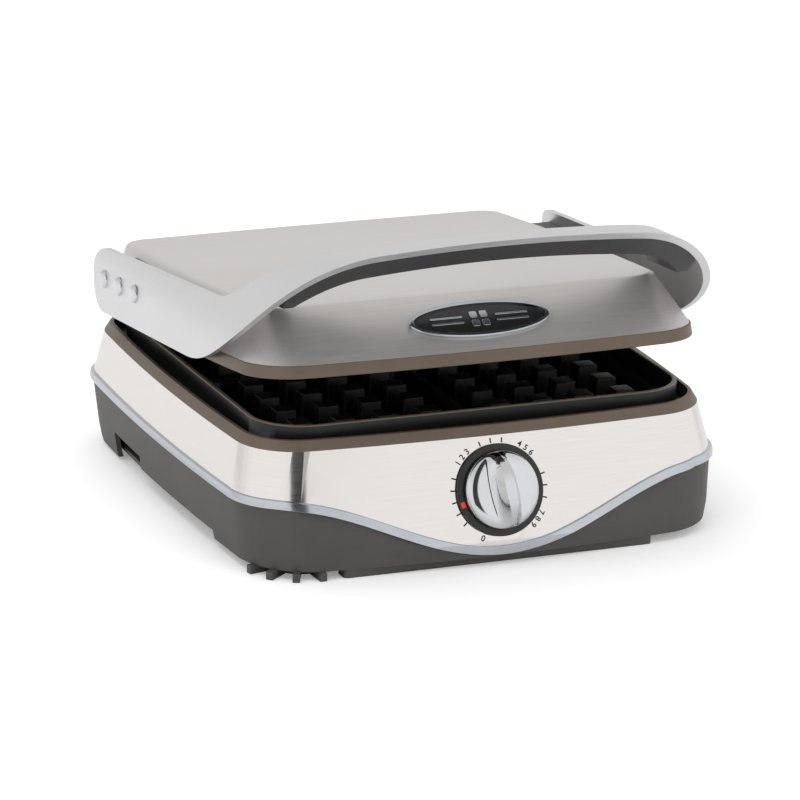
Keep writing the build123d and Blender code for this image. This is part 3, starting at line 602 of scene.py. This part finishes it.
class WAFFLE_OT_dial_scale(bpy.types.Operator):
    """Marks and numbers printed round the dial"""

    bl_idname = "waffle.dial_scale"
    bl_label = "Dial scale"

    def execute(self, context):
        sizes = context.scene.waffle_sizes
        band = bmesh.new()
        band.from_mesh(frame["nodes"]["steel_band"].data)
        surface = BVHTree.FromBMesh(band)
        ink = moulded_plastic("dial_ink", (0.012, 0.012, 0.013), 3000.0, (0.4, 0.6), 0.00001)
        marks = bmesh.new()
        for middle, count in ((95.0, 3), (0.0, 3), (190.0, 5)):
            for index in range(count):
                angle = math.radians(middle + TICK_STEP * (index - (count - 1) / 2))
                verts = bmesh.ops.create_grid(marks, x_segments=6, y_segments=1, size=0.5)["verts"]
                bmesh.ops.scale(marks, verts=verts, vec=(sizes.tick_length, 0.85 * MM, 1.0))
                bmesh.ops.translate(marks, verts=verts,
                                    vec=(sizes.tick_radius + sizes.tick_length / 2, 0.0, 0.0))
                bmesh.ops.rotate(marks, verts=verts, cent=(0, 0, 0), matrix=Matrix.Rotation(angle, 3, "Z"))
        for text, middle in (("123", 135.0), ("456", 50.0), ("789", -40.0), ("0", 245.0)):
            for index, numeral in enumerate(text):
                angle = math.radians(middle - NUMERAL_STEP * (index - (len(text) - 1) / 2))
                self.add_numeral(marks, numeral, angle, sizes)
        marks.transform(dial_matrix())
        for vert in marks.verts:
            start = vert.co + DIAL_NORMAL * 20 * MM
            hit, _, _, _ = surface.ray_cast(start, -DIAL_NORMAL)
            if hit is None:
                raise RuntimeError("a dial mark lies off the band")
            vert.co = hit + DIAL_NORMAL * PRINT_LIFT
        for face in marks.faces:
            face.normal_update()
            if face.normal.dot(DIAL_NORMAL) < 0:
                face.normal_flip()
        band.free()
        finish_piece(marks, "dial_scale", "base", "ring_plastic", material=ink)
        return {"FINISHED"}

    @staticmethod
    def add_numeral(marks, numeral, angle, sizes):
        """One number, its foot towards the middle of the dial."""
        curve = bpy.data.curves.new("numeral", "FONT")
        curve.body = numeral
        curve.size = sizes.numeral_height * 1.35
        curve.align_x = "CENTER"
        curve.align_y = "CENTER"
        curve.offset = 0.10 * MM
        helper = bpy.data.objects.new("numeral", curve)
        bpy.context.scene.collection.objects.link(helper)
        bpy.context.view_layer.update()
        drawn = bpy.data.meshes.new_from_object(helper)
        upright = Matrix.Rotation(angle - math.pi / 2, 4, "Z")
        out = Matrix.Translation((0.0, sizes.tick_radius + sizes.tick_length / 2 + 0.6 * MM, 0.0))
        drawn.transform(upright @ out)
        marks.from_mesh(drawn)
        bpy.data.objects.remove(helper)
        bpy.data.curves.remove(curve)
        bpy.data.meshes.remove(drawn)


class WAFFLE_OT_badge(bpy.types.Operator):
    """Oval badge on the front of the lid"""

    bl_idname = "waffle.badge"
    bl_label = "Badge"

    def execute(self, context):
        refine("badge_bezel", "bright_trim", SHEET_ROUND, 2, 35.0)
        refine("badge_emblem", "bright_trim", EMBLEM_ROUND)
        refine("badge_plate", "badge_black", 0.0)
        return {"FINISHED"}


# ---- stage -------------------------------------------------------------------------------------
class WAFFLE_OT_stage(bpy.types.Operator):
    """Pale floor, soft lights and the camera"""

    bl_idname = "waffle.stage"
    bl_label = "Stage"

    def execute(self, context):
        self.add_floor()
        self.add_lights()
        self.add_camera(context.scene.waffle_view)
        context.scene.view_settings.view_transform = "Standard"
        return {"FINISHED"}

    @staticmethod
    def add_floor():
        mesh = bmesh.new()
        bmesh.ops.create_grid(mesh, x_segments=1, y_segments=1, size=12.0)
        data = bpy.data.meshes.new("floor")
        mesh.to_mesh(data)
        mesh.free()
        floor = bpy.data.objects.new("floor", data)
        bpy.context.scene.collection.objects.link(floor)
        material, tree, shader = node_material("floor_paint")
        shader.inputs["Base Color"].default_value = (0.92, 0.92, 0.92, 1.0)
        shader.inputs["Roughness"].default_value = 0.9
        shader.inputs["Emission Color"].default_value = (1.0, 1.0, 1.0, 1.0)
        seen = tree.nodes.new("ShaderNodeLightPath")
        tree.links.new(spread(tree, seen.outputs["Is Camera Ray"], 0.0, 0.25, 0.0, 1.0),
                       shader.inputs["Emission Strength"])
        data.materials.append(material)

    @staticmethod
    def add_lights():
        world = bpy.data.worlds.new("studio")
        bpy.context.scene.world = world
        world.use_nodes = True
        WAFFLE_OT_stage.paint_room(world.node_tree)
        lights = (("top_softbox", (-0.5, 0.2, 2.2), (0.0, 0.0, 0.1), 2.4, 1.6, 20.0),
                  ("front_softbox", (1.3, -2.4, 1.2), (0.0, 0.0, 0.1), 1.6, 1.2, 10.0))
        for name, place, aim, wide, high, power in lights:
            lamp = bpy.data.lights.new(name, "AREA")
            lamp.shape = "RECTANGLE"
            lamp.size = wide
            lamp.size_y = high
            lamp.energy = power
            holder = bpy.data.objects.new(name, lamp)
            bpy.context.scene.collection.objects.link(holder)
            towards = Vector(aim) - Vector(place)
            holder.matrix_world = (Matrix.Translation(place)
                                   @ towards.to_track_quat("-Z", "Y").to_matrix().to_4x4())
            holder.visible_glossy = False

    @staticmethod
    def paint_room(tree):
        """White to the camera; bright walls, a dimmer ceiling and one dark screen in reflections."""
        background = tree.nodes["Background"]
        place = tree.nodes.new("ShaderNodeTexCoord")
        parts = tree.nodes.new("ShaderNodeSeparateXYZ")
        tree.links.new(place.outputs["Generated"], parts.inputs["Vector"])
        ceiling = spread(tree, parts.outputs["Z"], 1.0, 0.75, 0.40, 0.80)
        around = tree.nodes.new("ShaderNodeMath")
        around.operation = "ARCTAN2"
        tree.links.new(parts.outputs["X"], around.inputs[0])
        tree.links.new(spread(tree, parts.outputs["Y"], 1.0, -1.0, -1.0, 1.0), around.inputs[1])
        screen = spread(tree, around.outputs["Value"], 1.0, 0.0, -0.35, -0.31)
        screen_end = spread(tree, around.outputs["Value"], 0.0, 1.0, 0.10, 0.14)
        both = tree.nodes.new("ShaderNodeMath")
        both.operation = "MAXIMUM"
        tree.links.new(screen, both.inputs[0])
        tree.links.new(screen_end, both.inputs[1])
        dark = spread(tree, both.outputs["Value"], 0.06, 1.0, 0.0, 1.0)
        back = spread(tree, parts.outputs["Y"], 1.0, 0.80, 0.1, 0.6)
        walls = tree.nodes.new("ShaderNodeMath")
        walls.operation = "MULTIPLY"
        tree.links.new(ceiling, walls.inputs[0])
        tree.links.new(back, walls.inputs[1])
        level = tree.nodes.new("ShaderNodeMath")
        level.operation = "MULTIPLY"
        tree.links.new(walls.outputs["Value"], level.inputs[0])
        tree.links.new(dark, level.inputs[1])
        seen = tree.nodes.new("ShaderNodeLightPath")
        choice = tree.nodes.new("ShaderNodeMix")
        tree.links.new(seen.outputs["Is Camera Ray"], choice.inputs["Factor"])
        tree.links.new(level.outputs["Value"], choice.inputs["A"])
        choice.inputs["B"].default_value = 1.0
        background.inputs["Color"].default_value = (1.0, 1.0, 1.0, 1.0)
        tree.links.new(choice.outputs["Result"], background.inputs["Strength"])

    @staticmethod
    def add_camera(view):
        data = bpy.data.cameras.new("camera")
        data.lens = view.lens
        data.sensor_width = 36.0
        data.shift_x, data.shift_y = view.shift
        data.clip_end = 60.0
        camera = bpy.data.objects.new("camera", data)
        bpy.context.scene.collection.objects.link(camera)
        bpy.context.scene.camera = camera
        away = Vector((math.sin(view.azimuth) * math.cos(view.elevation),
                       -math.cos(view.azimuth) * math.cos(view.elevation),
                       math.sin(view.elevation)))
        level_right = Vector((math.cos(view.azimuth), math.sin(view.azimuth), 0.0))
        level_up = away.cross(level_right)
        right = math.cos(view.roll) * level_right + math.sin(view.roll) * level_up
        up = away.cross(right)
        turn = Matrix((right, up, away)).transposed().to_4x4()
        camera.matrix_world = Matrix.Translation(Vector(view.target) + away * view.distance) @ turn


# ---- panel and registration ----------------------------------------------------------------------
PIECE_OPERATORS = (WAFFLE_OT_finishes, WAFFLE_OT_casings, WAFFLE_OT_bead, WAFFLE_OT_plates,
                   WAFFLE_OT_handle, WAFFLE_OT_knob, WAFFLE_OT_dial_scale, WAFFLE_OT_badge,
                   WAFFLE_OT_stage)


class WAFFLE_PT_panel(bpy.types.Panel):
    """Lists the pieces and their settings"""

    bl_label = "Waffle Maker"
    bl_idname = "WAFFLE_PT_panel"
    bl_space_type = "VIEW_3D"
    bl_region_type = "UI"
    bl_category = "Waffle Maker"

    def draw(self, context):
        for settings in (context.scene.waffle_sizes, context.scene.waffle_finishes,
                         context.scene.waffle_view):
            for name in settings.__annotations__:
                self.layout.prop(settings, name)
        for operator in PIECE_OPERATORS:
            self.layout.operator(operator.bl_idname)


CLASSES = (WaffleSizes, WaffleFinishes, WaffleView, *PIECE_OPERATORS, WAFFLE_PT_panel)


def register():
    """Register the classes and hang the settings on the scene."""
    for each in CLASSES:
        bpy.utils.register_class(each)
    bpy.types.Scene.waffle_sizes = bpy.props.PointerProperty(type=WaffleSizes)
    bpy.types.Scene.waffle_finishes = bpy.props.PointerProperty(type=WaffleFinishes)
    bpy.types.Scene.waffle_view = bpy.props.PointerProperty(type=WaffleView)


def unregister():
    """Undo register."""
    del bpy.types.Scene.waffle_view
    del bpy.types.Scene.waffle_finishes
    del bpy.types.Scene.waffle_sizes
    for each in reversed(CLASSES):
        bpy.utils.unregister_class(each)


def main():
    """Build the whole appliance."""
    register()
    bpy.ops.waffle.finishes()
    bpy.ops.waffle.casings()
    bpy.ops.waffle.bead()
    bpy.ops.waffle.plates()
    bpy.ops.waffle.handle()
    bpy.ops.waffle.knob()
    bpy.ops.waffle.dial_scale()
    bpy.ops.waffle.badge()
    bpy.ops.waffle.stage()


if __name__ == "__main__":
    main()
